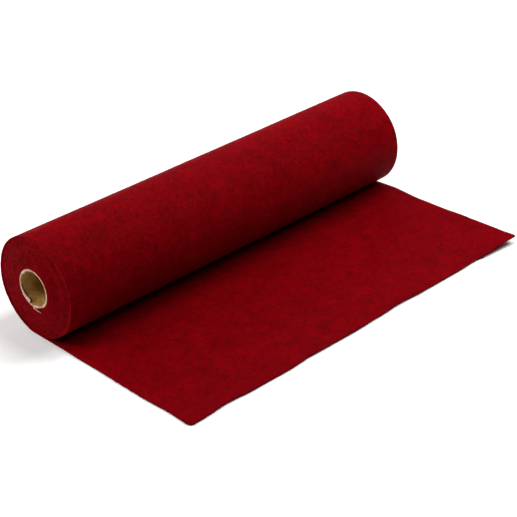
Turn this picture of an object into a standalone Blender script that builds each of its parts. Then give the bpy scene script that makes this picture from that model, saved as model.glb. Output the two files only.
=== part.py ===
"""Roll of craft felt on a cardboard core, with its free end laid out flat.

One length of felt, 0.45 m wide, is wound on a cardboard tube.  The last fifth of a metre runs out from
under the roll and lies in front of it.  Metres, +Z up.  The roll's axis is parallel to X, the laid-out
end points to -Y, and everything stands on Z = 0.  The origin is the bottom centre of the bounding box.
"""

import math

import bmesh
import bpy

# ---- driving dimensions (metres) ----
FELT_WIDTH = 0.450  # along the roll
FELT_THICK = 0.0015
TURN_PITCH = 0.001375  # one wound turn, slightly compressed
ROLL_RADIUS = 0.05125
ROLL_SINK = 0.0006  # how far the roll's own weight flattens its underside
CORE_RADIUS = 0.0196
CORE_WALL = 0.0015
CORE_LENGTH = 0.450
CORE_GAP = 0.0003  # between the core and the first turn
CORE_SHIFT = -0.0031  # the core stands out at the -X end
TELESCOPE = 0.0028  # how far the inner turns stand out at the -X end

LOOSE_REACH_LEFT = 0.2064  # roll's axis to the free edge, at the -X side
LOOSE_REACH_RIGHT = 0.2080  # the same at the +X side
CORNER_LEFT = 0.0055  # radius of the worn front corners
CORNER_RIGHT = 0.0020

AXIS_X = 0.0006  # middle of the outer turn, from the origin
AXIS_Y = 0.07855  # roll's axis, from the origin
AXIS_Z = ROLL_RADIUS - ROLL_SINK

# ---- fineness of the faceted solids ----
RING_STEPS = 60
CORE_STEPS = 48
STRIP_ROWS = 14

# The free edge, which was cut by hand.  Columns: x from the roll's middle, lift, how far the cut falls short;
# millimetres.
FRONT_EDGE = (
    (-228, 0.0, 0.0),
    (-209, 0.2, 0.7),
    (-180, 0.6, 2.7),
    (-154, 0.3, 1.2),
    (-108, 0.1, 0.5),
    (-70, 0.5, 2.2),
    (-20, 0.4, 1.6),
    (19, 0.7, 2.9),
    (50, 1.1, 4.5),
    (84, 0.8, 3.4),
    (114, 0.8, 3.3),
    (167, 1.0, 4.3),
    (189, 1.0, 2.0),
    (227, 1.3, 0.0),
)
# Lift of the +X edge, where the cloth keeps some of its curl.  Columns: distance from the axis, lift; mm.
RIGHT_LIFT = (
    (0, 0.0),
    (22, 3.6),
    (47, 4.9),
    (80, 3.3),
    (113, 3.9),
    (144, 5.0),
    (165, 5.2),
    (186, 5.8),
    (208, 6.6),
)
# How far the two side edges run outside the nominal width.  Columns: distance from the axis, -X side,
# +X side; millimetres.
SIDE_WANDER = (
    (0, 0.0, 0.0),
    (80, 1.0, 0.6),
    (150, 2.5, 1.2),
    (177, 1.8, 1.5),
    (208, 3.0, 1.9),
)
FRONT_FADE = 0.055  # how far in from the free edge its lift dies out
RIGHT_FADE = 0.075  # the same for the +X edge

# End face of the winding.  Columns: share of the way from rim to core, share of the telescoping.
END_PROFILE = ((0.0, 0.0), (0.18, 0.03), (1.0, 1.0))


def clear_scene():
    for ob in list(bpy.data.objects):
        bpy.data.objects.remove(ob, do_unlink=True)


def new_collection(name):
    coll = bpy.data.collections.new(name)
    bpy.context.scene.collection.children.link(coll)
    return coll


def material(name, color, roughness):
    mat = bpy.data.materials.new(name)
    mat.use_nodes = True
    bsdf = mat.node_tree.nodes["Principled BSDF"]
    bsdf.inputs["Base Color"].default_value = (*color, 1.0)
    bsdf.inputs["Roughness"].default_value = roughness
    bsdf.inputs["Metallic"].default_value = 0.0
    return mat


def lookup(table, at, column=1):
    """Value of a table's column at a place between its rows, eased so that the edge has no kinks."""
    if at <= table[0][0]:
        return table[0][column]
    for low, high in zip(table, table[1:]):
        if at <= high[0]:
            share = (at - low[0]) / (high[0] - low[0])
            share = share * share * (3 - 2 * share)
            return low[column] + (high[column] - low[column]) * share
    return table[-1][column]


def fade(distance, reach):
    """1 at an edge, 0 past the reach."""
    share = min(max(1 - distance / reach, 0.0), 1.0)
    return share * share * (3 - 2 * share)


# ---- the winding's section, in the plane across the roll (y from the axis, z from the ground) ----
def turn_radius(angle):
    """Radius of the outer turn, which loses one pitch in a full turn."""
    return ROLL_RADIUS - TURN_PITCH * angle / (2 * math.pi)


def crease_angle():
    """Where the outer turn comes back down onto the loose cloth."""
    inner = turn_radius(2 * math.pi)
    return 2 * math.pi - math.acos((AXIS_Z - FELT_THICK) / inner)


def ring_angles():
    """From the lowest point, up the back, over the top and down to the crease."""
    last = crease_angle()
    return [last * k / (RING_STEPS - 1) for k in range(RING_STEPS)]


def turn_point(angle):
    radius = turn_radius(angle)
    y = radius * math.sin(angle)
    z = AXIS_Z - radius * math.cos(angle)
    return y, max(z, 0.0)


def room_under_roll(y):
    """How high the loose cloth may rise before it meets the winding above it."""
    inner = turn_radius(2 * math.pi)
    if abs(y) >= inner:
        return 1.0
    return max(AXIS_Z - math.sqrt(inner * inner - y * y) - FELT_THICK - 0.0004, 0.0)


# ---- the loose end ----
def side_edges(y):
    """x of the two side edges at a distance in front of the axis."""
    out = -y * 1000
    left = -FELT_WIDTH / 2 - lookup(SIDE_WANDER, out, 1) / 1000
    right = FELT_WIDTH / 2 + lookup(SIDE_WANDER, out, 2) / 1000
    return left, right


def corner_cut(distance, radius):
    """How far a round corner draws the free edge back, at a distance in from the side edge."""
    if distance >= radius:
        return 0.0
    return radius - math.sqrt(radius * radius - (radius - distance) ** 2)


def free_edge(share):
    """y of the free edge, at a share of the width."""
    left = share * FELT_WIDTH
    reach = LOOSE_REACH_LEFT + (LOOSE_REACH_RIGHT - LOOSE_REACH_LEFT) * share
    reach -= lookup(FRONT_EDGE, (left - FELT_WIDTH / 2) * 1000, 2) / 1000
    return -(reach - corner_cut(left, CORNER_LEFT) - corner_cut(FELT_WIDTH - left, CORNER_RIGHT))


def lift(x, y, right, front):
    """Height of the loose cloth's underside above the ground."""
    from_front = lookup(FRONT_EDGE, x * 1000) * fade(y - front, FRONT_FADE)
    from_right = lookup(RIGHT_LIFT, -y * 1000) * fade(right - x, RIGHT_FADE)
    both = (from_front**6 + from_right**6) ** (1 / 6)
    return min(both / 1000, room_under_roll(y))


def width_shares():
    """Stations across the width, closer together at the round corners."""
    near_left = [0.0, 0.0009, 0.0024, 0.0052, 0.010]
    near_right = [FELT_WIDTH - d for d in (0.008, 0.0018, 0.0)]
    first, last, count = 0.022, FELT_WIDTH - 0.022, 22
    middle = [first + (last - first) * k / (count - 1) for k in range(count)]
    return [at / FELT_WIDTH for at in near_left + middle + near_right]


def row_shares():
    """Rows from the crease to the free edge, closer together near both."""
    return [0.5 - 0.5 * math.cos(math.pi * (0.12 + 0.88 * k / STRIP_ROWS)) for k in range(1, STRIP_ROWS + 1)]


def strip_point(share, row):
    """Place of the underside of the loose cloth."""
    start = turn_point(crease_angle())[0]
    front = free_edge(share)
    first = row_shares()[0]
    y = start + (front - start) * (row - first * 0.55) / (1 - first * 0.55)
    left, right = side_edges(y)
    x = left + (right - left) * share
    return x, y, lift(x, y, right, front)


def quad_strip(bm, near, far):
    """Faces between two rows of vertices."""
    for a, b, c, d in zip(near, near[1:], far[1:], far):
        bm.faces.new((a, b, c, d))


def felt_mesh():
    """One closed solid: the winding, and the loose end as a sheet of its real thickness."""
    bm = bmesh.new()
    shares = width_shares()
    angles = ring_angles()
    bore = CORE_RADIUS + CORE_GAP

    def place(x, y, z):
        return bm.verts.new((x + AXIS_X, y + AXIS_Y, z))

    # Outside of the winding: one row of vertices across the width for each angle.
    outer = []
    for angle in angles:
        y, z = turn_point(angle)
        outer.append([place((share - 0.5) * FELT_WIDTH, y, z) for share in shares])
    for near, far in zip(outer, outer[1:]):
        quad_strip(bm, near, far)

    # Loose end: its underside leaves the lowest row, its top leaves the crease.
    under, over = [outer[0]], [outer[-1]]
    for row in row_shares():
        places = [strip_point(share, row) for share in shares]
        under.append([place(x, y, z) for x, y, z in places])
        over.append([place(x, y, z + FELT_THICK) for x, y, z in places])
    for rows in (under, over):
        for near, far in zip(rows, rows[1:]):
            quad_strip(bm, near, far)
    quad_strip(bm, under[-1], over[-1])
    for end in (0, -1):
        for k in range(len(under) - 1):
            bm.faces.new((under[k][end], under[k + 1][end], over[k + 1][end], over[k][end]))

    # End faces: rings from the rim to the bore, which stand out or in with the telescoping.
    bores = []
    for end, side in ((0, -0.5), (-1, 0.5)):
        rings = [[row[end] for row in outer]]
        for depth, out in END_PROFILE[1:]:
            ring = []
            for angle in angles:
                rim = turn_radius(angle)
                radius = rim + (bore - rim) * depth
                x = side * FELT_WIDTH - TELESCOPE * out
                ring.append(place(x, radius * math.sin(angle), AXIS_Z - radius * math.cos(angle)))
            rings.append(ring)
        for near, far in zip(rings, rings[1:]):
            quad_strip(bm, near + near[:1], far + far[:1])
        bores.append(rings[-1])
    quad_strip(bm, bores[0] + bores[0][:1], bores[1] + bores[1][:1])

    bmesh.ops.recalc_face_normals(bm, faces=bm.faces)
    mesh = bpy.data.meshes.new("felt")
    bm.to_mesh(mesh)
    bm.free()
    return mesh


def make_felt(coll, mat):
    mesh = felt_mesh()
    mesh.shade_smooth()
    mesh.set_sharp_from_angle(angle=math.radians(40))
    ob = bpy.data.objects.new("felt", mesh)
    ob.data.materials.append(mat)
    coll.objects.link(ob)
    return ob


def make_core(coll, mat):
    """Cardboard tube, turned from the section of its wall."""
    inner = CORE_RADIUS - CORE_WALL
    half = CORE_LENGTH / 2
    corners = ((half, 0, inner), (half, 0, CORE_RADIUS), (-half, 0, CORE_RADIUS), (-half, 0, inner))
    mesh = bpy.data.meshes.new("core")
    mesh.from_pydata(corners, [(0, 1), (1, 2), (2, 3), (3, 0)], [])
    ob = bpy.data.objects.new("core", mesh)
    coll.objects.link(ob)
    ob.location = (AXIS_X + CORE_SHIFT, AXIS_Y, AXIS_Z)
    ob.data.materials.append(mat)
    screw = ob.modifiers.new("turn", "SCREW")
    screw.axis = "X"
    screw.angle = 2 * math.pi
    screw.steps = CORE_STEPS
    screw.render_steps = CORE_STEPS
    screw.use_merge_vertices = True
    screw.merge_threshold = 0.00001
    screw.use_smooth_shade = False
    return ob


def main():
    clear_scene()
    coll = new_collection("roll_of_felt")
    felt_mat = material("felt", (0.202, 0.002, 0.0045), 0.95)
    core_mat = material("cardboard", (0.36, 0.22, 0.095), 0.85)
    make_felt(coll, felt_mat)
    make_core(coll, core_mat)


main()
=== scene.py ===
"""Roll of crimson craft felt on a cardboard core, its free end laid out flat.

The felt is one cloth, 0.45 m x 5.0 m: a spiral of about 22 turns that runs out from under the roll.
The frame gives the places and sizes; this script gives the cloth, the board and the light.
"""

import math

import bmesh
import bpy
import numpy as np
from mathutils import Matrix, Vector, noise


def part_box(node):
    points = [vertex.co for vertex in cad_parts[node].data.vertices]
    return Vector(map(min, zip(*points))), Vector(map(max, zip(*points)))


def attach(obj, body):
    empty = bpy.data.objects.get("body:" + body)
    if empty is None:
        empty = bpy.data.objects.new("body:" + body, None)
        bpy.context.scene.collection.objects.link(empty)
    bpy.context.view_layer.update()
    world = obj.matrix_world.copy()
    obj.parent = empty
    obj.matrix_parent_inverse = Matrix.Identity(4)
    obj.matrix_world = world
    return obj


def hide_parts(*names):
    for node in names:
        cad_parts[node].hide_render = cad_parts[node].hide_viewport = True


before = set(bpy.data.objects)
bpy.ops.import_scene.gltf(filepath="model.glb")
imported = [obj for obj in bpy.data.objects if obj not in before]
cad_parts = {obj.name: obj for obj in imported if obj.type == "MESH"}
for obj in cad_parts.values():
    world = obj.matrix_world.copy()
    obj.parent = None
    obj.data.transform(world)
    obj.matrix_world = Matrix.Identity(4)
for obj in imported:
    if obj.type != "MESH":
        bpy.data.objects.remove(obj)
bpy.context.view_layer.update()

# ---- places, from the frame ----
CORE_LOW, CORE_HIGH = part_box("core")
AXIS_Y = (CORE_LOW.y + CORE_HIGH.y) / 2
AXIS_Z = (CORE_LOW.z + CORE_HIGH.z) / 2
CORE_RADIUS = (CORE_HIGH.z - CORE_LOW.z) / 2
CORE_MIDDLE = (CORE_LOW.x + CORE_HIGH.x) / 2
CORE_SHIFT = -0.0031  # the core stands out at the -X end, as far as it lies inside at the other
CORE_WALL = 0.0015
MIDDLE_X = CORE_MIDDLE - CORE_SHIFT  # middle of the outer turn

# ---- sizes of the cloth, metres ----
FELT_WIDTH = 0.450
FELT_THICK = 0.0015  # where it lies loose
WOUND_THICK = 0.00134  # pressed in the winding
TURN_PITCH = 0.001375  # from one turn to the next
ROLL_RADIUS = 0.05125
CORE_GAP = 0.0001  # left between the innermost turn and the core
TELESCOPE = 0.0028  # how far the inner turns stand out at the -X end
LOOSE_REACH_LEFT = 0.2064  # from the roll's axis to the free edge, at the -X end
LOOSE_REACH_RIGHT = 0.2080  # and at the +X end
CORNER_LEFT = 0.0055  # radius of the free edge's corner at the -X end
CORNER_RIGHT = 0.0020  # and at the +X end
FRONT_FADE = 0.055  # how far in from the free edge its lift fades out
RIGHT_FADE = 0.075  # and from the +X edge
LIFT_BLEND = 6  # the higher this is, the sharper the two lifts meet
THICKEN_FROM = 0.008  # the cloth swells to its loose thickness from here, out from the axis
THICKEN_OVER = 0.012
UNDER_ROLL_GAP = 0.0004  # kept free between the loose cloth and the roll over it
MM = 0.001

# ---- colours ----
FELT_RED = "#6B0006"
FELT_SHEEN = "#F03C48"
HAIR_IN_FELT = "#330206"
HAIR_DARK = "#1E0204"
HAIR_LIGHT = "#4A0307"
BOARD_DARK = "#926E38"
BOARD_LIGHT = "#C89F5C"
# painted shade for the groove behind the loosened core ply, standing in for its shadow
PAINTED_SHADE_BEHIND_FLAP = "#2E1B0C"
PAPER_DARK = "#A67F69"
PAPER_LIGHT = "#DDB9A3"
LAMINATE_DARK = "#F5F5F5"
LAMINATE_LIGHT = "#F7F7F7"

# The free edge, cut by hand.  Columns: x from the roll's middle, lift, how far the cut falls short of straight;
# millimetres.
FRONT_EDGE = (
    (-228, 0.0, 0.0),
    (-209, 0.2, 0.7),
    (-180, 0.6, 2.7),
    (-154, 0.3, 1.2),
    (-108, 0.1, 0.5),
    (-70, 0.5, 2.2),
    (-20, 0.4, 1.6),
    (19, 0.7, 2.9),
    (50, 1.1, 4.5),
    (84, 0.8, 3.4),
    (114, 0.8, 3.3),
    (167, 1.0, 4.3),
    (189, 1.0, 2.0),
    (227, 1.3, 0.0),
)
# Lift of the +X edge.  Columns: distance from the axis, lift; millimetres.
RIGHT_LIFT = (
    (0, 0.0),
    (22, 3.6),
    (47, 4.9),
    (80, 3.3),
    (113, 3.9),
    (144, 5.0),
    (165, 5.2),
    (186, 5.8),
    (208, 6.6),
)
# Side edges outside the nominal width.  Columns: distance from the axis, -X side, +X side; millimetres.
SIDE_WANDER = (
    (0, 0.0, 0.0),
    (80, 1.0, 0.6),
    (150, 2.5, 1.2),
    (177, 1.8, 1.5),
    (208, 3.0, 1.9),
)
# End face of the winding.  Columns: turns in from the outside, offset towards +X in millimetres.
END_FACE = (
    (0.0, 0.0),
    (0.75, 0.0),
    (1.3, 0.55),
    (3.0, 0.75),
    (4.5, 0.35),
    (7.0, -0.3),
    (21.5, -TELESCOPE / MM),
)


def srgb(hex_code):
    """Linear colour of an sRGB hex value."""
    parts = [int(hex_code[i : i + 2], 16) / 255 for i in (1, 3, 5)]
    linear = [p / 12.92 if p <= 0.04045 else ((p + 0.055) / 1.055) ** 2.4 for p in parts]
    return (*linear, 1.0)


def ease(share):
    """Eases a share from 0 to 1, so that it starts and stops gently."""
    return share * share * (3 - 2 * share)


def lookup(table, at, column=1):
    """Value of a table's column between its rows, eased so that it has no kinks."""
    if at <= table[0][0]:
        return table[0][column]
    for low, high in zip(table, table[1:]):
        if at <= high[0]:
            share = ease((at - low[0]) / (high[0] - low[0]))
            return low[column] + (high[column] - low[column]) * share
    return table[-1][column]


def fade(distance, reach):
    """1 at no distance, 0 from the reach on."""
    return ease(min(max(1 - distance / reach, 0.0), 1.0))


NOISE_GAIN = 1.6  # brings the noise close to -1 and 1


def wander(along, across=0.0, third=0.0):
    """Smooth noise from -1 to 1."""
    return noise.noise(Vector((along, across, third))) * NOISE_GAIN


def waves(length, rows):
    """Sum of smooth waves along a length.  Columns: waves per metre, place in the noise, size in metres."""
    return sum(wander(length * often, place) * size for often, place, size in rows)


# ---- the winding ----
def outer_radius(turns):
    """Radius of the cloth's outer face, a number of turns in."""
    return ROLL_RADIUS - TURN_PITCH * turns


def wound_length(turns):
    """Length of cloth from the lowest point in to a number of turns."""
    return 2 * math.pi * turns * (ROLL_RADIUS - WOUND_THICK / 2 - TURN_PITCH * turns / 2)


def edge_wave(length, side):
    """How far a cut edge is off straight."""
    return waves(length, ((40, side * 7.3, 0.00028), (190, side * 3.1, 0.00016)))


def turn_offset(turns, side):
    """How far a turn's edge is off the end plane of the roll: single turns stand out a little more or less."""
    single = wander(turns * 0.9, side * 5.0) * 0.00010 * min(turns, 1)
    return lookup(END_FACE, turns) * MM + single


def turns_in_all():
    """Turns from the outside in to the core."""
    return (ROLL_RADIUS - CORE_RADIUS - WOUND_THICK - CORE_GAP) / TURN_PITCH


# ---- the loose end ----
def room_under_roll(y):
    """How far the loose cloth can lift before it meets the roll."""
    inner = outer_radius(1.0)
    if abs(y) >= inner:
        return math.inf
    return max(AXIS_Z - math.sqrt(inner * inner - y * y) - FELT_THICK - UNDER_ROLL_GAP, 0.0)


def corner_cut(distance, radius):
    """What a rounded corner takes off the free edge, at a distance from the side."""
    if distance >= radius:
        return 0.0
    return radius - math.sqrt(max(radius * radius - (radius - distance) ** 2, 0.0))


def free_edge(share):
    """y of the free edge, from the axis."""
    left = share * FELT_WIDTH
    reach = LOOSE_REACH_LEFT + (LOOSE_REACH_RIGHT - LOOSE_REACH_LEFT) * share
    reach -= lookup(FRONT_EDGE, (left - FELT_WIDTH / 2) / MM, 2) * MM
    rough = waves(left, ((45, 11.0, 0.00035), (170, 4.0, 0.0002)))
    return -(reach + rough - corner_cut(left, CORNER_LEFT) - corner_cut(FELT_WIDTH - left, CORNER_RIGHT))


def side_edges(y):
    """x of the loose end's two sides, from the roll's middle."""
    out = -y / MM
    left = -FELT_WIDTH / 2 - lookup(SIDE_WANDER, out, 1) * MM + edge_wave(y, -1)
    right = FELT_WIDTH / 2 + lookup(SIDE_WANDER, out, 2) * MM + edge_wave(y, 1)
    return left, right


def loose_lift(x, y, right, front):
    """Height of the loose cloth's underside."""
    from_front = lookup(FRONT_EDGE, x / MM) * fade(y - front, FRONT_FADE)
    from_right = lookup(RIGHT_LIFT, -y / MM) * fade(right - x, RIGHT_FADE)
    both = (from_front**LIFT_BLEND + from_right**LIFT_BLEND) ** (1 / LIFT_BLEND)
    return min(both * MM, room_under_roll(y))


# ---- the cloth as one closed mesh ----
EDGE_INSET = 0.00014  # the cut edges are slightly rounded
EDGE_ROUND = 0.24  # share of the thickness that the rounding takes on each side
FRONT_PINCH = 0.26  # and at the free edge
FRONT_ROUND = 0.0014  # share of the loose end's reach over which the free edge rounds off
DENSE = [0.0, 1.2, 2.8, 5.0, 8.0, 12.0]  # stations in from each edge, millimetres
COARSE = [0.0, 2.8, 12.0]  # those that the inner turns keep
MIDDLE_STEPS = 38  # between the dense edges
KEEP_EVERY, KEEP_FIRST = 10, 4  # the inner turns keep one in ten of these, from the fifth on
DENSE_TURNS = 1.25  # the outer turns that show, and a little more
TURN_STEPS_DENSE = 120  # rows in a turn
TURN_STEPS = 72
LOOSE_ROWS = 84
SHOWN_TURNS = 1.02  # the outer side shows this far in, to where it meets the loose end
CALM = 0.7  # the turns hold each other's edges straight, by this much
LOOSE = -1.0  # "turns" of the rows that aren't wound
HIDDEN, CUT, BROAD = 0.0, 1.0, 2.0  # values of "seen"


def stations():
    """Dense stations across the width, and which of them the inner turns keep."""
    inside = DENSE[-1] * MM
    step = (FELT_WIDTH - 2 * inside) / MIDDLE_STEPS
    middle = [inside + step * k for k in range(1, MIDDLE_STEPS)]
    dense = [d * MM for d in DENSE] + middle + [FELT_WIDTH - d * MM for d in reversed(DENSE)]
    kept = [k for k, at in enumerate(dense) if at in middle and (k - len(DENSE)) % KEEP_EVERY == KEEP_FIRST]
    last = len(dense) - 1
    ends = [DENSE.index(d) for d in COARSE]
    kept = ends + kept + [last - k for k in reversed(ends)]
    return dense, kept


def section(outer, inner):
    """One row round the cloth's section: outer face, +X edge, inner face, -X edge."""
    rows = []
    near, far = 1 - EDGE_ROUND, EDGE_ROUND
    for end, side in ((-1, 1), (0, -1)):
        o, i = np.array(outer[end]), np.array(inner[end])
        out = np.array((side * EDGE_INSET, 0, 0))
        rows.append((o * near + i * far + out, o * far + i * near + out))
    right, left = rows
    return outer + [right[0], right[1]] + inner[::-1] + [left[1], left[0]]


def wound_row(turns, across):
    """A row of the part that will be wound, still flat: its outer face is down, as it lies before winding."""
    length = wound_length(turns)
    calm = 1 - CALM * min(turns, 1)
    left_off = turn_offset(turns, -1) + edge_wave(length, -1) * calm
    right_off = turn_offset(turns, 1) + edge_wave(length, 1) * calm
    outer, inner = [], []
    for at in across:
        share = at / FELT_WIDTH
        x = -FELT_WIDTH / 2 + EDGE_INSET + share * (FELT_WIDTH - 2 * EDGE_INSET)
        x += left_off * (1 - share) + right_off * share
        outer.append((x + MIDDLE_X, length, 0.0))
        inner.append((x + MIDDLE_X, length, WOUND_THICK))
    return section(outer, inner)


def loose_row(share_out, across, pinch=0.0):
    """A row of the loose end, at a share of the way from under the roll to the free edge.  pinch is the share of
    the thickness taken off each face."""
    outer, inner = [], []
    for at in across:
        share = at / FELT_WIDTH
        front = free_edge(share)
        y = front * share_out
        left, right = side_edges(y)
        x = left + EDGE_INSET + share * (right - left - 2 * EDGE_INSET)
        z = loose_lift(x, y, right, front)
        swollen = min(max((-y - THICKEN_FROM) / THICKEN_OVER, 0.0), 1.0)
        thick = WOUND_THICK + (FELT_THICK - WOUND_THICK) * swollen
        outer.append((x + MIDDLE_X, y + AXIS_Y, z + thick * pinch))
        inner.append((x + MIDDLE_X, y + AXIS_Y, z + thick * (1 - pinch)))
    return section(outer, inner)


def felt_rows():
    """Every row from the free edge in to the core: (points, dense or not, turns in)."""
    dense, kept = stations()
    coarse = [dense[k] for k in kept]
    rows = [(loose_row(1.0, dense, pinch=FRONT_PINCH), True, LOOSE)]
    for k in range(LOOSE_ROWS):
        share_out = 1 - FRONT_ROUND - (1 - FRONT_ROUND) * k / LOOSE_ROWS
        rows.append((loose_row(share_out, dense), True, LOOSE))
    count = int(DENSE_TURNS * TURN_STEPS_DENSE)
    for k in range(count + 1):
        rows.append((wound_row(k / TURN_STEPS_DENSE, dense), True, k / TURN_STEPS_DENSE))
    total = turns_in_all()
    count = int((total - DENSE_TURNS) * TURN_STEPS)
    for k in range(1, count + 1):
        turns = DENSE_TURNS + (total - DENSE_TURNS) * k / count
        rows.append((wound_row(turns, coarse), False, turns))
    return rows, kept, len(dense)


def flat_cloth_mesh():
    """The whole cloth before winding, one closed mesh.  "turns" says how far in each point will be wound, and
    "seen" marks the faces that will show."""
    rows, kept, wide = felt_rows()
    narrow = len(kept)
    points, faces, seen, turns_in, starts = [], [], [], [], []
    for row, _, turns in rows:
        starts.append(len(points))
        points.extend(row)
        turns_in.extend([turns] * len(row))

    def mark(k, count, turns):
        """count stations on each face: the outer face comes first, then the +X edge, inner face, -X edge."""
        if k < count - 1:
            seen.append(BROAD if 0 <= turns < SHOWN_TURNS else HIDDEN)
        elif count + 1 < k < 2 * count + 1:
            seen.append(BROAD if turns < 0 else HIDDEN)
        else:
            seen.append(CUT)

    for (_, first, turns), (_, second, _), a, b in zip(rows, rows[1:], starts, starts[1:]):
        count = wide if first else narrow
        size = 2 * count + 4
        if first == second:
            for k in range(size):
                n = (k + 1) % size
                faces.append((a + k, b + k, b + n, a + n))
                mark(k, count, turns)
            continue
        # The inner turns have fewer stations: each of their faces meets several of the outer turn's.
        full, few = 2 * wide + 4, 2 * narrow + 4
        marks = kept + [wide, wide + 1] + [wide + 2 + wide - 1 - k for k in reversed(kept)]
        marks += [full - 2, full - 1]
        for k in range(few):
            low, high = marks[k], marks[(k + 1) % few]
            high = high if high > low else high + full
            between = [a + (m % full) for m in range(low, high + 1)]
            faces.append(tuple(reversed(between)) + (b + k, b + (k + 1) % few))
            seen.append(HIDDEN)

    def cap(start, size, flip):
        """Close the cloth's end: the outer face's stations meet the inner face's."""
        half = size // 2 - 2

        def top(k):
            """The inner face's point over the outer face's."""
            return start + half + 2 + (half - 1 - k)

        cells = [(start + k, start + k + 1, top(k + 1), top(k)) for k in range(half - 1)]
        cells.append((start + half - 1, start + half, start + half + 1, top(half - 1)))
        cells.append((start, top(0), start + size - 2, start + size - 1))
        faces.extend(tuple(reversed(c)) if flip else c for c in cells)
        seen.extend([HIDDEN if flip else CUT] * len(cells))

    cap(starts[0], 2 * wide + 4, False)
    cap(starts[-1], 2 * narrow + 4, True)
    mesh = bpy.data.meshes.new("felt_cloth")
    mesh.from_pydata([tuple(p) for p in points], [], faces)
    mesh.attributes.new("turns", "FLOAT", "POINT").data.foreach_set("value", turns_in)
    mesh.attributes.new("seen", "FLOAT", "FACE").data.foreach_set("value", seen)
    return mesh


def close_and_smooth(mesh, angle):
    """Turns the faces outwards and shades them smooth, but for edges sharper than an angle in degrees."""
    bm = bmesh.new()
    bm.from_mesh(mesh)
    bmesh.ops.recalc_face_normals(bm, faces=bm.faces)
    bm.to_mesh(mesh)
    bm.free()
    mesh.shade_smooth()
    mesh.set_sharp_from_angle(angle=math.radians(angle))


def add_object(name, mesh, mat):
    """An object at the origin with one material."""
    ob = bpy.data.objects.new(name, mesh)
    bpy.context.scene.collection.objects.link(ob)
    ob.data.materials.clear()
    ob.data.materials.append(mat)
    return ob


# ---- node trees ----
def add(tree, kind, links=(), **settings):
    """Adds a node.  links: (input, node, output); inputs and stops set its values and a ramp's colours; the rest
    of the settings are its properties."""
    node = tree.nodes.new(kind)
    inputs = settings.pop("inputs", {})
    stops = settings.pop("stops", ())
    for key, value in settings.items():
        setattr(node, key, value)
    for key, value in inputs.items():
        node.inputs[key].default_value = value
    for key, source, output in links:
        tree.links.new(source.outputs[output], node.inputs[key])
    while stops and len(node.color_ramp.elements) < len(stops):
        node.color_ramp.elements.new(0.5)
    for k, (at, color) in enumerate(stops):
        node.color_ramp.elements[k].position = at
        node.color_ramp.elements[k].color = color if hasattr(color, "__len__") else (color, color, color, 1.0)
    return node


def new_tree(name, sizes):
    """A tree that works on geometry, with a named input for each size."""
    tree = bpy.data.node_groups.new(name, "GeometryNodeTree")
    tree.interface.new_socket("Geometry", in_out="INPUT", socket_type="NodeSocketGeometry")
    for size in sizes:
        tree.interface.new_socket(size, in_out="INPUT", socket_type="NodeSocketFloat")
    tree.interface.new_socket("Seed", in_out="INPUT", socket_type="NodeSocketInt")
    tree.interface.new_socket("Material", in_out="INPUT", socket_type="NodeSocketMaterial")
    tree.interface.new_socket("Geometry", in_out="OUTPUT", socket_type="NodeSocketGeometry")
    return tree, add(tree, "NodeGroupInput")


def end_tree(tree, given, last, output):
    """Makes instances real and gives the result its material."""
    real = add(tree, "GeometryNodeRealizeInstances", [(0, last, output)])
    named = add(tree, "GeometryNodeSetMaterial", [("Geometry", real, 0), ("Material", given, "Material")])
    add(tree, "NodeGroupOutput", [("Geometry", named, 0)])


def grow(name, mesh, tree, mat, values):
    """Runs a tree on a mesh: a plain object of what it makes."""
    ob = add_object(name, mesh, mat)
    modifier = ob.modifiers.new("tree", "NODES")
    modifier.node_group = tree
    for item in tree.interface.items_tree:
        if item.in_out == "INPUT" and item.name in values:
            modifier[item.identifier] = values[item.name]
        elif item.in_out == "INPUT" and item.name == "Material":
            modifier[item.identifier] = mat
    depsgraph = bpy.context.evaluated_depsgraph_get()
    made = bpy.data.meshes.new_from_object(ob.evaluated_get(depsgraph), depsgraph=depsgraph)
    ob.modifiers.remove(modifier)
    ob.data = made
    made.name = name
    return ob


STEP_TURNS = 0.12  # how gently a turn steps up over the cloth's inner end
SMOOTHED_AFTER = 8.0  # turns out from the core, where that step no longer shows
BUMP_SCALE = 11.0  # bumps of the winding in a metre
UNDERSIDE_COSINE = 0.9  # the roll is flattened only this close to its lowest line


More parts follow.
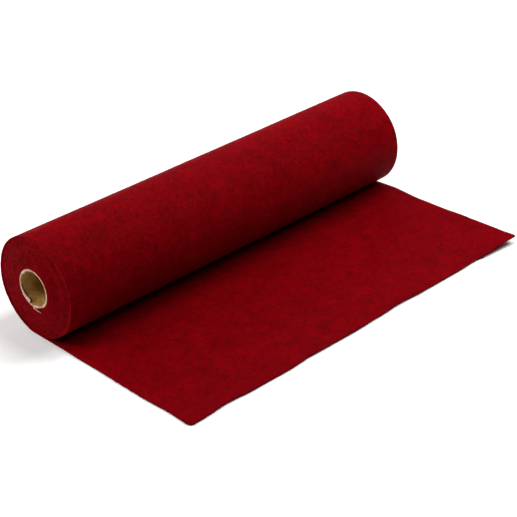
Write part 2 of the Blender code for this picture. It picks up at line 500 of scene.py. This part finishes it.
def winding_tree():
    """Winds the flat cloth in a spiral round the roll's axis.  A point "turns" in goes that many times round, at a
    radius one pitch less for each turn; the roll's weight flattens its underside on the table."""
    tree, given = new_tree(
        "wind_cloth",
        ("Roll Radius", "Core Radius", "Turn Pitch", "Turns In All", "Axis Y", "Axis Height", "Unevenness"),
    )
    math_node = "ShaderNodeMath"
    turns = add(tree, "GeometryNodeInputNamedAttribute", data_type="FLOAT", inputs={"Name": "turns"})
    place = add(tree, "GeometryNodeInputPosition")
    flat = add(tree, "ShaderNodeSeparateXYZ", [(0, place, 0)])
    angle = add(tree, math_node, [(0, turns, 0)], operation="MULTIPLY", inputs={1: 2 * math.pi})
    cosine = add(tree, math_node, [(0, angle, 0)], operation="COSINE")
    inwards = add(
        tree, math_node, [(0, turns, 0), (1, given, "Turn Pitch"), (2, flat, "Z")], operation="MULTIPLY_ADD"
    )
    # The first turns on the core are round, with a step where the next begins, and the rest smooth it out.
    left = add(tree, math_node, [(0, given, "Turns In All"), (1, turns, 0)], operation="SUBTRACT")
    part = add(tree, math_node, [(0, left, 0)], operation="FRACT")
    step = add(
        tree,
        "ShaderNodeMapRange",
        [("Value", part, 0)],
        interpolation_type="SMOOTHSTEP",
        inputs={"From Min": 1 - STEP_TURNS, "From Max": 1.0},
    )
    settled = add(tree, math_node, [(0, part, 0), (1, step, 0)], operation="SUBTRACT")
    near_core = add(
        tree,
        "ShaderNodeMapRange",
        [("Value", left, 0)],
        inputs={"From Min": 1.0, "From Max": SMOOTHED_AFTER, "To Min": 1.0, "To Max": 0.0},
    )
    settled = add(tree, math_node, [(0, settled, 0), (1, near_core, 0)], operation="MULTIPLY")
    inwards = add(
        tree, math_node, [(0, settled, 0), (1, given, "Turn Pitch"), (2, inwards, 0)], operation="MULTIPLY_ADD"
    )
    radius = add(tree, math_node, [(0, given, "Roll Radius"), (1, inwards, 0)], operation="SUBTRACT")
    depth_share = add(
        tree,
        "ShaderNodeMapRange",
        [("Value", radius, 0), ("From Min", given, "Core Radius"), ("From Max", given, "Roll Radius")],
    )
    # The winding is slightly uneven, more at the top than where it rests.
    down = add(tree, math_node, [(0, radius, 0)], operation="MULTIPLY", inputs={1: -1.0})
    arm = add(tree, "ShaderNodeCombineXYZ", [("X", flat, "X"), ("Z", down, 0)])
    round_point = add(
        tree, "ShaderNodeVectorRotate", [("Vector", arm, 0), ("Angle", angle, 0)], rotation_type="X_AXIS"
    )
    noise_there = add(
        tree,
        "ShaderNodeTexNoise",
        [("Vector", round_point, 0)],
        inputs={"Scale": BUMP_SCALE, "Detail": 1.0},
    )
    centred = add(tree, math_node, [(0, noise_there, 0)], operation="SUBTRACT", inputs={1: 0.5})
    free = add(tree, math_node, [(0, cosine, 0)], operation="MULTIPLY_ADD", inputs={1: -0.5, 2: 0.5})
    amount = add(tree, math_node, [(0, centred, 0), (1, given, "Unevenness")], operation="MULTIPLY")
    for factor, output in ((free, 0), (depth_share, 0)):
        amount = add(tree, math_node, [(0, amount, 0), (1, factor, output)], operation="MULTIPLY")
    final_down = add(tree, math_node, [(0, down, 0), (1, amount, 0)], operation="SUBTRACT")
    arm = add(tree, "ShaderNodeCombineXYZ", [("X", flat, "X"), ("Z", final_down, 0)])
    wound = add(tree, "ShaderNodeVectorRotate", [("Vector", arm, 0), ("Angle", angle, 0)], rotation_type="X_AXIS")
    # How far the round underside would go through the table is how far it is pressed up.
    across = add(tree, "ShaderNodeSeparateXYZ", [(0, wound, 0)])
    squared = add(tree, math_node, [(0, across, "Y"), (1, across, "Y")], operation="MULTIPLY")
    radius_squared = add(
        tree, math_node, [(0, given, "Roll Radius"), (1, given, "Roll Radius")], operation="MULTIPLY"
    )
    below = add(tree, math_node, [(0, radius_squared, 0), (1, squared, 0)], operation="SUBTRACT")
    below = add(tree, math_node, [(0, below, 0)], operation="SQRT")
    through = add(tree, math_node, [(0, below, 0), (1, given, "Axis Height")], operation="SUBTRACT")
    through = add(tree, math_node, [(0, through, 0)], operation="MAXIMUM", inputs={1: 0.0})
    underside = add(tree, math_node, [(0, cosine, 0)], operation="GREATER_THAN", inputs={1: UNDERSIDE_COSINE})
    for factor, output in ((depth_share, 0), (underside, 0)):
        through = add(tree, math_node, [(0, through, 0), (1, factor, output)], operation="MULTIPLY")
    height = add(tree, math_node, [(0, through, 0), (1, given, "Axis Height")], operation="ADD")
    axis = add(tree, "ShaderNodeCombineXYZ", [("Y", given, "Axis Y"), ("Z", height, 0)])
    wound = add(tree, "ShaderNodeVectorMath", [(0, wound, 0), (1, axis, 0)], operation="ADD")
    is_wound = add(tree, math_node, [(0, turns, 0)], operation="GREATER_THAN", inputs={1: LOOSE / 2})
    moved = add(
        tree,
        "GeometryNodeSetPosition",
        [("Geometry", given, "Geometry"), ("Selection", is_wound, 0), ("Position", wound, 0)],
    )
    end_tree(tree, given, moved, 0)
    return tree


FIBRE_POINTS = 5  # along each fibre
SHORTEST, LONGEST = 0.45, 1.35  # sizes of single fibres, next to the one drawn


def fibre_tree():
    """Lays curved fibres on the faces marked "seen": each is a short arc with three flat sides, and leans up from
    the cloth."""
    tree, given = new_tree(
        "lay_fibres",
        (
            "Least Seen",
            "Per Square Metre",
            "Bend Radius",
            "Fibre Sweep",
            "Fibre Radius",
            "Lean From",
            "Lean To",
        ),
    )
    seen = add(tree, "GeometryNodeInputNamedAttribute", data_type="FLOAT", inputs={"Name": "seen"})
    chosen = add(tree, "ShaderNodeMath", [(0, seen, 0), (1, given, "Least Seen")], operation="GREATER_THAN")
    spots = add(
        tree,
        "GeometryNodeDistributePointsOnFaces",
        [
            ("Mesh", given, "Geometry"),
            ("Selection", chosen, 0),
            ("Density", given, "Per Square Metre"),
            ("Seed", given, "Seed"),
        ],
    )
    arc = add(
        tree,
        "GeometryNodeCurveArc",
        [("Radius", given, "Bend Radius"), ("Sweep Angle", given, "Fibre Sweep")],
        inputs={"Resolution": FIBRE_POINTS, "Start Angle": 0.0},
    )
    back = add(tree, "ShaderNodeMath", [(0, given, "Bend Radius")], operation="MULTIPLY", inputs={1: -1.0})
    back = add(tree, "ShaderNodeCombineXYZ", [("X", back, 0)])
    arc = add(tree, "GeometryNodeTransform", [("Geometry", arc, 0), ("Translation", back, 0)])
    sides = add(
        tree, "GeometryNodeCurvePrimitiveCircle", [("Radius", given, "Fibre Radius")], inputs={"Resolution": 3}
    )
    fibre = add(
        tree,
        "GeometryNodeCurveToMesh",
        [("Curve", arc, 0), ("Profile Curve", sides, 0)],
        inputs={"Fill Caps": True},
    )
    heading = add(
        tree,
        "FunctionNodeRandomValue",
        [("Seed", given, "Seed")],
        data_type="FLOAT",
        inputs={2: 0.0, 3: 2 * math.pi},
    )
    next_seed = add(tree, "ShaderNodeMath", [(0, given, "Seed")], operation="ADD", inputs={1: 1.0})
    lean = add(
        tree,
        "FunctionNodeRandomValue",
        [(2, given, "Lean From"), (3, given, "Lean To"), ("Seed", next_seed, 0)],
        data_type="FLOAT",
    )
    size_seed = add(tree, "ShaderNodeMath", [(0, given, "Seed")], operation="ADD", inputs={1: 2.0})
    size = add(
        tree,
        "FunctionNodeRandomValue",
        [("Seed", size_seed, 0)],
        data_type="FLOAT",
        inputs={2: SHORTEST, 3: LONGEST},
    )
    turned = add(tree, "ShaderNodeCombineXYZ", [("X", lean, 1), ("Z", heading, 1)])
    turned = add(tree, "FunctionNodeEulerToRotation", [(0, turned, 0)])
    turned = add(
        tree,
        "FunctionNodeRotateRotation",
        [(0, spots, "Rotation"), (1, turned, 0)],
        rotation_space="LOCAL",
    )
    laid = add(
        tree,
        "GeometryNodeInstanceOnPoints",
        [("Points", spots, "Points"), ("Instance", fibre, 0), ("Rotation", turned, 0), ("Scale", size, 1)],
    )
    # None reach below the table.
    real = add(tree, "GeometryNodeRealizeInstances", [(0, laid, 0)])
    place = add(tree, "GeometryNodeInputPosition")
    place = add(tree, "ShaderNodeSeparateXYZ", [(0, place, 0)])
    height = add(tree, "ShaderNodeMath", [(0, place, "Z")], operation="MAXIMUM", inputs={1: 0.0})
    above = add(tree, "ShaderNodeCombineXYZ", [("X", place, "X"), ("Y", place, "Y"), ("Z", height, 0)])
    lifted = add(tree, "GeometryNodeSetPosition", [("Geometry", real, 0), ("Position", above, 0)])
    end_tree(tree, given, lifted, 0)
    return tree


# ---- the core ----
CORE_STEPS = 360  # round it
BORE_STEPS = 12  # along the bore, between its two ends
CUT_BACK_NEAR = 0.0004  # the torn end lies this far inside the core's full length
CUT_BACK_FAR = 0.0002  # and the other end this far
LOOSE_PLY = 1.5  # least depth of the loosened ply, in from the cut end, millimetres
LOOSE_GAP = 0.0012  # how far out the bare glued board lies behind it
RAGGED_WAVES, FINE_WAVES = 21, 60  # how fast the tears change round the cut: coarse ones and fine ones
# Cut end of the core at -X, where the saw tore the plies.  Columns: degrees from the front by way of the top,
# reach of the torn plies in over the bore, how far that part is cut back, both in millimetres, and how far the
# inner ply has come loose behind them, from 0 to 1.
TORN_END = (
    (0, 0.1, 0.0, 0.0),
    (28, 0.0, 0.1, 0.0),
    (60, 0.0, 0.0, 0.0),
    (84, 0.3, 0.1, 0.0),
    (97, 0.8, 0.0, 0.0),
    (106, 0.4, 0.0, 0.0),
    (115, 0.9, 0.1, 0.0),
    (124, 0.8, 0.0, 0.0),
    (133, 1.4, 0.0, 0.0),
    (141, 0.9, 0.1, 0.0),
    (150, 0.1, 0.1, 0.0),
    (176, 0.0, 0.0, 0.0),
    (184, 0.5, 0.1, 0.3),
    (189, 0.2, 0.0, 0.6),
    (200, 0.4, 0.1, 0.9),
    (213, 0.9, 0.0, 1.0),
    (226, 1.5, 0.0, 1.0),
    (236, 2.1, 0.1, 1.0),
    (243, 2.4, 0.2, 1.0),
    (246, 2.2, 0.2, 1.0),
    (249, 0.1, 0.1, 0.7),
    (253, 0.1, 0.0, 0.0),
    (264, 0.2, 0.0, 0.0),
    (270, 0.8, 0.0, 0.0),
    (280, 1.0, 0.0, 0.0),
    (290, 1.3, 0.1, 0.0),
    (295, 0.6, 0.1, 0.0),
    (305, 0.2, 0.3, 0.0),
    (316, 0.6, 0.1, 0.0),
    (328, 0.4, 0.0, 0.0),
    (344, 0.1, 0.1, 0.0),
    (360, 0.1, 0.0, 0.0),
)
# How far the outer ply is gone from that end, where a strip of it has been peeled: degrees, millimetres.
PEELED_PLY = ((283, 0.0), (289, 2.0), (304, 1.8), (309, 0.0))
PLY_LEAD = 0.115  # a ply goes once round the core in this length
# The peeled strip: where it starts and ends, from the axis at the core's end, and its bow, width and thickness.
STRIP_ROOT = (-0.0002, 0.0007, -0.0191)
STRIP_TIP = (-0.0010, -0.0106, -0.0199)
STRIP_STEPS = 9
STRIP_BOW = 0.0005
STRIP_HALF_ROOT = 0.00058
STRIP_HALF_TIP = 0.00024
STRIP_HALF_THICK = 0.00017
STRIP_LAY = (0.3, 0.0)  # its place on the plies' UV map, clear of a seam


def core_ring(angle, end):
    """Points of one end of the core's wall at an angle, from the outer wall over the cut end and into the bore:
    (x, radius, how torn).  end is -1 or 1, for -X or +X.  How torn is from 0, whole board, to 1, pale torn fibre.
    Under 0 it is painted shade: the board behind a loosened ply is darkened there, standing in for the shadow of
    the ply."""
    degrees = math.degrees(angle)
    ragged = wander(math.cos(angle) * RAGGED_WAVES, math.sin(angle) * RAGGED_WAVES, end)
    fine = wander(math.cos(angle) * FINE_WAVES, math.sin(angle) * FINE_WAVES, end + 3)
    if end < 0:
        reach = lookup(TORN_END, degrees, 1)
        reach = max(reach * (1 + 0.35 * fine) + ragged * 0.22 + fine * 0.15, 0.0) * MM
        cut = (lookup(TORN_END, degrees, 2) + ragged * 0.10 + fine * 0.08) * MM
        loose = lookup(TORN_END, degrees, 3)
        peeled = lookup(PEELED_PLY, degrees)
    else:
        reach = max(0.1 + ragged * 0.25, 0.0) * MM
        cut = (ragged * 0.15 + fine * 0.08) * MM
        loose = peeled = 0.0
    bore = CORE_RADIUS - CORE_WALL
    edge = (CORE_LOW.x + CUT_BACK_NEAR if end < 0 else CORE_HIGH.x - CUT_BACK_FAR) - end * cut

    def inside(depth):
        """x of a depth in from the cut end, in millimetres."""
        return edge - end * depth * MM

    lip = reach * 0.35 / MM  # the torn plies lean in as they reach over the bore
    behind = LOOSE_PLY + reach * 0.96 / MM  # how deep the loosened ply ends
    pale = min(0.3 + reach * 2 / MM, 1.0)
    # First the outer wall and the cut end, then the torn plies over the bore, then the bore behind them.
    return [
        (inside(5.0), CORE_RADIUS, 0.0),
        (inside(0.9 + peeled), CORE_RADIUS, 0.8),
        (inside(0.3 + peeled), CORE_RADIUS - 0.00005, 1.0),
        (inside(0.08 + peeled), CORE_RADIUS - 0.0003, 1.0),
        (inside(0.06 + 0.10 * fine + peeled * 0.9), CORE_RADIUS - 0.0008, 1.0),
        (inside(0.0), bore + 0.0003, pale),
        (inside(0.1 + lip * 0.4), bore - reach * 0.55, pale),
        (inside(0.3 + lip), bore - reach, pale),
        (inside(0.5 + lip * 1.2), bore - reach * 0.93, pale * 0.9),
        # Painted shade: from here on the values under 0 darken the groove behind the loosened ply, standing in for
        # its shadow.
        (inside(0.6 + lip * 1.22), bore - reach * 0.4 + loose * LOOSE_GAP / 2, 0.0),
        (inside(0.7 + lip * 1.25), bore + loose * LOOSE_GAP, -loose),
        (inside(behind), bore + loose * LOOSE_GAP, -loose),
        (inside(behind + 0.15), bore, -loose * 0.6),
        (inside(behind + 0.8), bore, 0.0),
        (inside(4.5 + lip * 1.5), bore, 0.0),
    ]


def core_mesh():
    """The whole core as one closed mesh, with the plies' helical lay in its UV map."""
    points, torn, runs = [], [], []
    bore = CORE_RADIUS - CORE_WALL
    for step in range(CORE_STEPS):
        angle = 2 * math.pi * step / CORE_STEPS
        near = core_ring(angle, -1)
        far = core_ring(angle, 1)
        start, length = near[-1][0], far[-1][0] - near[-1][0]
        middle = [(start + length * k / BORE_STEPS, bore, 0.0) for k in range(1, BORE_STEPS)]
        ring = near + middle + far[::-1]
        runs.append(len(points))
        for x, radius, how_torn in ring:
            points.append((x, AXIS_Y - radius * math.cos(angle), AXIS_Z + radius * math.sin(angle)))
            torn.append(how_torn)
    size = len(points) // CORE_STEPS
    faces, lays = [], []
    for step in range(CORE_STEPS):
        a, b = runs[step], runs[(step + 1) % CORE_STEPS]
        for k in range(size):
            n = (k + 1) % size
            faces.append((a + k, b + k, b + n, a + n))
            for index, turn in ((a + k, step), (b + k, step + 1), (b + n, step + 1), (a + n, step)):
                lays.append((points[index][0] / PLY_LEAD + turn / CORE_STEPS, points[index][0]))
    add_peeled_ply(points, faces, torn, lays)
    mesh = bpy.data.meshes.new("core_tube")
    mesh.from_pydata(points, [], faces)
    mesh.attributes.new("torn", "FLOAT", "POINT").data.foreach_set("value", torn)
    layer = mesh.uv_layers.new(name="plies")
    layer.data.foreach_set("uv", [value for pair in lays for value in pair])
    close_and_smooth(mesh, 40)
    return mesh


def add_peeled_ply(points, faces, torn, lays):
    """The strip peeled off the outer ply: it still hangs on at the bottom and runs out straight over the felt."""
    first = len(points)
    root = Vector((CORE_LOW.x, AXIS_Y, AXIS_Z)) + Vector(STRIP_ROOT)
    tip = Vector((CORE_LOW.x, AXIS_Y, AXIS_Z)) + Vector(STRIP_TIP)
    for k in range(STRIP_STEPS + 1):
        t = k / STRIP_STEPS
        centre = root.lerp(tip, t) - Vector((STRIP_BOW * math.sin(math.pi * t), 0, 0))
        half_wide = STRIP_HALF_ROOT + (STRIP_HALF_TIP - STRIP_HALF_ROOT) * t
        side = Vector((0, 0, half_wide)) * (1 + 0.25 * wander(t * 6, 2.0))
        thick = Vector((STRIP_HALF_THICK, 0, 0))
        for corner in (side + thick, side - thick, -side - thick, -side + thick):
            points.append(tuple(centre + corner))
            torn.append(1.0)
    cells = [(first, first + 1, first + 2, first + 3)]
    for k in range(STRIP_STEPS):
        a = first + 4 * k
        cells += [(a + j, a + 4 + j, a + 4 + (j + 1) % 4, a + (j + 1) % 4) for j in range(4)]
    last = first + 4 * STRIP_STEPS
    cells.append((last + 3, last + 2, last + 1, last))
    faces.extend(cells)
    lays.extend([STRIP_LAY] * (4 * len(cells)))


# ---- materials ----
def new_material(name):
    """An empty material and its tree."""
    mat = bpy.data.materials.new(name)
    mat.use_nodes = True
    tree = mat.node_tree
    tree.nodes.clear()
    return mat, tree


def felt_material():
    """Needle-punched polyester felt: short crimson fibres tangled with a few dark ones and pressed flat.  It looks
    matt and slightly dusty, mottled in grains and tufts, with dark curved hairs."""
    mat, tree = new_material("needle_punched_felt")
    place = add(tree, "ShaderNodeTexCoord")

    # pattern, size in mm, detail, roughness, distortion
    sizes = {
        "grain": (1.5, 3.0, 0.7, 0.3),  # single fibres are 0.03 mm, drawn coarser so that they show
        "tufts": (5.0, 4.0, 0.62, 1.2),  # where the needles drew fibres together
        "patches": (13, 3.0, 0.6, 1.0),  # thicker and thinner places of the web
        "clouds": (34, 3.0, 0.5, 0.4),  # uneven carding
        "hairs": (9, 3.0, 0.6, 2.0),  # bends of the dark hairs
        "where": (15, 2.0, 0.6, 0.0),  # where they lie
        "needled": (4.5, 4.0, 0.75, 0.6),  # the coarser outer side
    }
    patterns = {}
    for name, (size, detail, rough, distortion) in sizes.items():
        patterns[name] = add(
            tree,
            "ShaderNodeTexNoise",
            [("Vector", place, "Object")],
            inputs={"Scale": 1000 / size, "Detail": detail, "Roughness": rough, "Distortion": distortion},
        )
    tones = {
        "grain": ((0.32, 0.76), (0.68, 1.24)),
        "tufts": ((0.30, 0.77), (0.52, 1.0), (0.72, 1.16)),
        "patches": ((0.32, 0.86), (0.68, 1.13)),
        "clouds": ((0.3, 0.92), (0.7, 1.08)),
    }
    color = None
    for name, stops in tones.items():
        tone = add(tree, "ShaderNodeValToRGB", [(0, patterns[name], 0)], stops=stops)
        links = [(6, color, 2), (7, tone, 0)] if color else [(7, tone, 0)]
        inputs = {0: 1.0} if color else {0: 1.0, 6: srgb(FELT_RED)}
        color = add(tree, "ShaderNodeMix", links, data_type="RGBA", blend_type="MULTIPLY", inputs=inputs)
    # The cloth's outer side is coarser, and its cut edges more so. This tone averages above 1, so it is also
    # painted light: the cut edges of the end face come out lighter, and the roll's outer side a little, standing
    # in for light falling on them.
    turns = add(tree, "ShaderNodeAttribute", attribute_name="turns")
    seen = add(tree, "ShaderNodeAttribute", attribute_name="seen")
    wound = add(tree, "ShaderNodeMath", [(0, turns, "Fac")], operation="ADD", inputs={1: -LOOSE}, use_clamp=True)
    cut = add(tree, "ShaderNodeMath", [(1, seen, "Fac")], operation="SUBTRACT", inputs={0: BROAD}, use_clamp=True)
    coarse = add(tree, "ShaderNodeMath", [(0, cut, 0)], operation="MULTIPLY_ADD", inputs={1: 0.5, 2: 0.5})
    coarse = add(tree, "ShaderNodeMath", [(0, coarse, 0), (1, wound, 0)], operation="MULTIPLY")
    # Painted light: these stops lighten more than they darken.
    tone = add(tree, "ShaderNodeValToRGB", [(0, patterns["needled"], 0)], stops=((0.34, 0.70), (0.66, 1.44)))
    color = add(
        tree,
        "ShaderNodeMix",
        [(0, coarse, 0), (6, color, 2), (7, tone, 0)],
        data_type="RGBA",
        blend_type="MULTIPLY",
    )
    # Dark hairs are thin curved lines where the noise crosses its middle.
    off = add(tree, "ShaderNodeMath", [(0, patterns["hairs"], 0)], operation="SUBTRACT", inputs={1: 0.5})
    near = add(tree, "ShaderNodeMath", [(0, off, 0)], operation="ABSOLUTE")
    line = add(tree, "ShaderNodeValToRGB", [(0, near, 0)], stops=((0.0, 1.0), (0.03, 0.0)))
    patch = add(tree, "ShaderNodeValToRGB", [(0, patterns["where"], 0)], stops=((0.44, 0.0), (0.66, 0.8)))
    dark = add(tree, "ShaderNodeMath", [(0, line, 0), (1, patch, 0)], operation="MULTIPLY")
    color = add(
        tree,
        "ShaderNodeMix",
        [(0, dark, 0), (6, color, 2)],
        data_type="RGBA",
        inputs={7: srgb(HAIR_IN_FELT)},
    )
    height = add(
        tree, "ShaderNodeMath", [(0, patterns["tufts"], 0), (1, patterns["grain"], 0)], operation="ADD"
    )
    bump = add(tree, "ShaderNodeBump", [("Height", height, 0)], inputs={"Strength": 0.45, "Distance": 0.0007})
    shader = add(
        tree,
        "ShaderNodeBsdfPrincipled",
        [("Base Color", color, 2), ("Normal", bump, 0)],
        inputs={
            "Roughness": 0.55,
            "Specular IOR Level": 0.007,
            "Sheen Weight": 0.10,
            "Sheen Roughness": 0.45,
            "Sheen Tint": srgb(FELT_SHEEN),
        },
    )
    add(tree, "ShaderNodeOutputMaterial", [("Surface", shader, 0)])
    return mat


def hair_material():
    """Single polyester fibres left lying on the cloth by the needles: dark burgundy and smooth, with only a trace
    of a thread's gloss."""
    mat, tree = new_material("loose_dark_fibre")
    place = add(tree, "ShaderNodeTexCoord")
    patches = add(tree, "ShaderNodeTexNoise", [("Vector", place, "Object")], inputs={"Scale": 90.0, "Detail": 1.0})
    color = add(
        tree,
        "ShaderNodeValToRGB",
        [(0, patches, 0)],
        stops=((0.35, srgb(HAIR_DARK)), (0.6, srgb(HAIR_LIGHT))),
    )
    shader = add(
        tree,
        "ShaderNodeBsdfPrincipled",
        [("Base Color", color, 0)],
        inputs={"Roughness": 0.7, "Specular IOR Level": 0.1},
    )
    add(tree, "ShaderNodeOutputMaterial", [("Surface", shader, 0)])
    return mat


def board_material():
    """Kraft core board: brown paper plies glued in a spiral, calendered but matt.  The seams of the plies show in
    the bore, and the torn cut end shows pale, fluffy paper fibre."""
    mat, tree = new_material("kraft_core_board")
    place = add(tree, "ShaderNodeTexCoord")
    lay = add(tree, "ShaderNodeUVMap", uv_map="plies")
    torn = add(tree, "ShaderNodeAttribute", attribute_name="torn")
    # Paper fibres are under 1 mm, drawn at 2.4 mm so that they show; brown paper is cloudy at 14 mm.
    fibre = add(
        tree,
        "ShaderNodeTexNoise",
        [("Vector", place, "Object")],
        inputs={"Scale": 1000 / 2.4, "Detail": 4.0, "Roughness": 0.6},
    )
    cloud = add(
        tree, "ShaderNodeTexNoise", [("Vector", place, "Object")], inputs={"Scale": 1000 / 14, "Detail": 2.0}
    )
    mottle = add(tree, "ShaderNodeMix", [(2, fibre, 0), (3, cloud, 0)], data_type="FLOAT", inputs={0: 0.5})
    brown = add(
        tree,
        "ShaderNodeValToRGB",
        [(0, mottle, 0)],
        stops=((0.36, srgb(BOARD_DARK)), (0.66, srgb(BOARD_LIGHT))),
    )
    # The seam between two turns of the inner ply is a dark line, about 2 mm along the core, beside a paler edge.
    along = add(tree, "ShaderNodeSeparateXYZ", [(0, lay, 0)])
    across = add(tree, "ShaderNodeMath", [(0, along, "X")], operation="FRACT")
    seam = add(
        tree,
        "ShaderNodeValToRGB",
        [(0, across, 0)],
        stops=((0.0, 0.62), (0.012, 0.62), (0.02, 1.0), (0.985, 1.06), (1.0, 0.95)),
    )
    brown = add(
        tree,
        "ShaderNodeMix",
        [(6, brown, 0), (7, seam, 0)],
        data_type="RGBA",
        blend_type="MULTIPLY",
        inputs={0: 1.0},
    )
    pale = add(
        tree,
        "ShaderNodeValToRGB",
        [(0, fibre, 0)],
        stops=((0.36, srgb(PAPER_DARK)), (0.6, srgb(PAPER_LIGHT))),
    )
    color = add(tree, "ShaderNodeMix", [(0, torn, "Fac"), (6, brown, 2), (7, pale, 0)], data_type="RGBA")
    # Painted shade: where torn is under 0, the board behind the loosened ply is darkened, standing in for the
    # shadow that the ply casts there.
    painted_shade = add(tree, "ShaderNodeMath", [(0, torn, "Fac")], operation="MULTIPLY", inputs={1: -1.0})
    color = add(
        tree, "ShaderNodeMix", [(0, painted_shade, 0), (6, color, 2)], data_type="RGBA", inputs={7: srgb(PAINTED_SHADE_BEHIND_FLAP)}
    )
    bump = add(tree, "ShaderNodeBump", [("Height", fibre, 0)], inputs={"Strength": 0.4, "Distance": 0.0004})
    shader = add(
        tree,
        "ShaderNodeBsdfPrincipled",
        [("Base Color", color, 2), ("Normal", bump, 0)],
        inputs={"Roughness": 0.8, "Specular IOR Level": 0.2},
    )
    add(tree, "ShaderNodeOutputMaterial", [("Surface", shader, 0)])
    return mat


def table_material():
    """White laminate table top: sprayed matt, so it is even and takes soft shadows with no shine."""
    mat, tree = new_material("white_laminate")
    place = add(tree, "ShaderNodeTexCoord")
    speck = add(tree, "ShaderNodeTexNoise", [("Vector", place, "Object")], inputs={"Scale": 300.0, "Detail": 1.0})
    color = add(
        tree,
        "ShaderNodeValToRGB",
        [(0, speck, 0)],
        stops=((0.3, srgb(LAMINATE_DARK)), (0.7, srgb(LAMINATE_LIGHT))),
    )
    shader = add(
        tree,
        "ShaderNodeBsdfPrincipled",
        [("Base Color", color, 0)],
        inputs={"Roughness": 0.9, "Specular IOR Level": 0.1},
    )
    add(tree, "ShaderNodeOutputMaterial", [("Surface", shader, 0)])
    return mat


# ---- pieces ----
felt_finish = felt_material()
felt = grow(
    "felt_cloth",
    flat_cloth_mesh(),
    winding_tree(),
    felt_finish,
    {
        "Roll Radius": ROLL_RADIUS,
        "Core Radius": CORE_RADIUS,
        "Turn Pitch": TURN_PITCH,
        "Turns In All": turns_in_all(),
        "Axis Y": AXIS_Y,
        "Axis Height": AXIS_Z,
        "Unevenness": 0.0005,
    },
)
close_and_smooth(felt.data, 50)

fibres = fibre_tree()
nap = grow(
    "felt_nap",
    felt.data.copy(),
    fibres,
    felt_finish,
    {
        "Seed": 11,
        "Least Seen": HIDDEN,
        "Per Square Metre": 19000,
        "Bend Radius": 0.0011,
        "Fibre Sweep": 1.5,
        "Fibre Radius": 0.00005,
        "Lean From": 0.15,
        "Lean To": 0.9,
    },
)
hairs = grow(
    "felt_hairs",
    felt.data.copy(),
    fibres,
    hair_material(),
    {
        "Seed": 23,
        "Least Seen": CUT,
        "Per Square Metre": 9000,
        "Bend Radius": 0.0042,
        "Fibre Sweep": 1.3,
        "Fibre Radius": 0.00007,
        "Lean From": 0.0,
        "Lean To": 0.03,
    },
)
core = add_object("core_tube", core_mesh(), board_material())

for piece, slot in ((felt, "felt"), (nap, "felt"), (hairs, "felt"), (core, "cardboard")):
    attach(piece, "root")
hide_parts("felt")
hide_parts("core")

# ---- floor, light and camera ----
TABLE_HALF = 4.0
TABLE_DROP = 0.0004  # just under the felt, so that their faces don't coincide
AMBIENT = 0.02  # the room is all but dark
AIM = Vector((0, 0, 0.03))  # what the lights are turned to, low in the middle of the felt
LENS = 117.57  # millimetres, on a sensor 36 mm wide
CAMERA_PLACE = (-1.02936, -0.99140, 0.83079)
CAMERA_DOWN = 29.51  # degrees under level
CAMERA_TURN = -45.68  # degrees about +Z, from looking along +Y
floor_mesh = bpy.data.meshes.new("floor")
corners = [(x * TABLE_HALF, y * TABLE_HALF, 0) for x, y in ((-1, -1), (1, -1), (1, 1), (-1, 1))]
floor_mesh.from_pydata(corners, [], [(0, 1, 2, 3)])
floor = add_object("floor", floor_mesh, table_material())
floor.location.z = -TABLE_DROP

world = bpy.data.worlds.new("studio")
bpy.context.scene.world = world
world.use_nodes = True
world.node_tree.nodes["Background"].inputs["Color"].default_value = (1, 1, 1, 1)
world.node_tree.nodes["Background"].inputs["Strength"].default_value = AMBIENT


def soft_box(name, heading, height, distance, size, power):
    """A square soft box round the table: heading in degrees from the back (+Y) by way of +X, height in degrees."""
    data = bpy.data.lights.new(name, "AREA")
    data.shape = "SQUARE"
    data.size = size
    data.energy = power
    ob = bpy.data.objects.new(name, data)
    bpy.context.scene.collection.objects.link(ob)
    turn, up = math.radians(heading), math.radians(height)
    flat = distance * math.cos(up)
    ob.location = AIM + Vector((flat * math.sin(turn), flat * math.cos(turn), distance * math.sin(up)))
    ob.rotation_euler = (AIM - ob.location).to_track_quat("-Z", "Y").to_euler()


# Columns: name, heading, height, distance in metres, size in metres, power in watts.
for box in (
    ("right_box_high", 90, 75, 1.4, 0.6, 12.4),
    ("front_right_box", 115, 43, 1.1, 0.5, 7.6),
    ("back_right_box", 45, 30, 2.0, 1.0, 5.2),
    ("back_box", 345, 25, 2.0, 1.0, 17.5),
    ("left_box", 298, 41, 2.0, 1.0, 23.5),
):
    soft_box(*box)

camera_data = bpy.data.cameras.new("camera")
camera = bpy.data.objects.new("camera", camera_data)
bpy.context.scene.collection.objects.link(camera)
camera_data.sensor_width = 36
camera_data.lens = LENS
camera.location = CAMERA_PLACE
camera.rotation_euler = (math.radians(90 - CAMERA_DOWN), 0, math.radians(CAMERA_TURN))
bpy.context.scene.camera = camera
bpy.context.scene.view_settings.view_transform = "Standard"
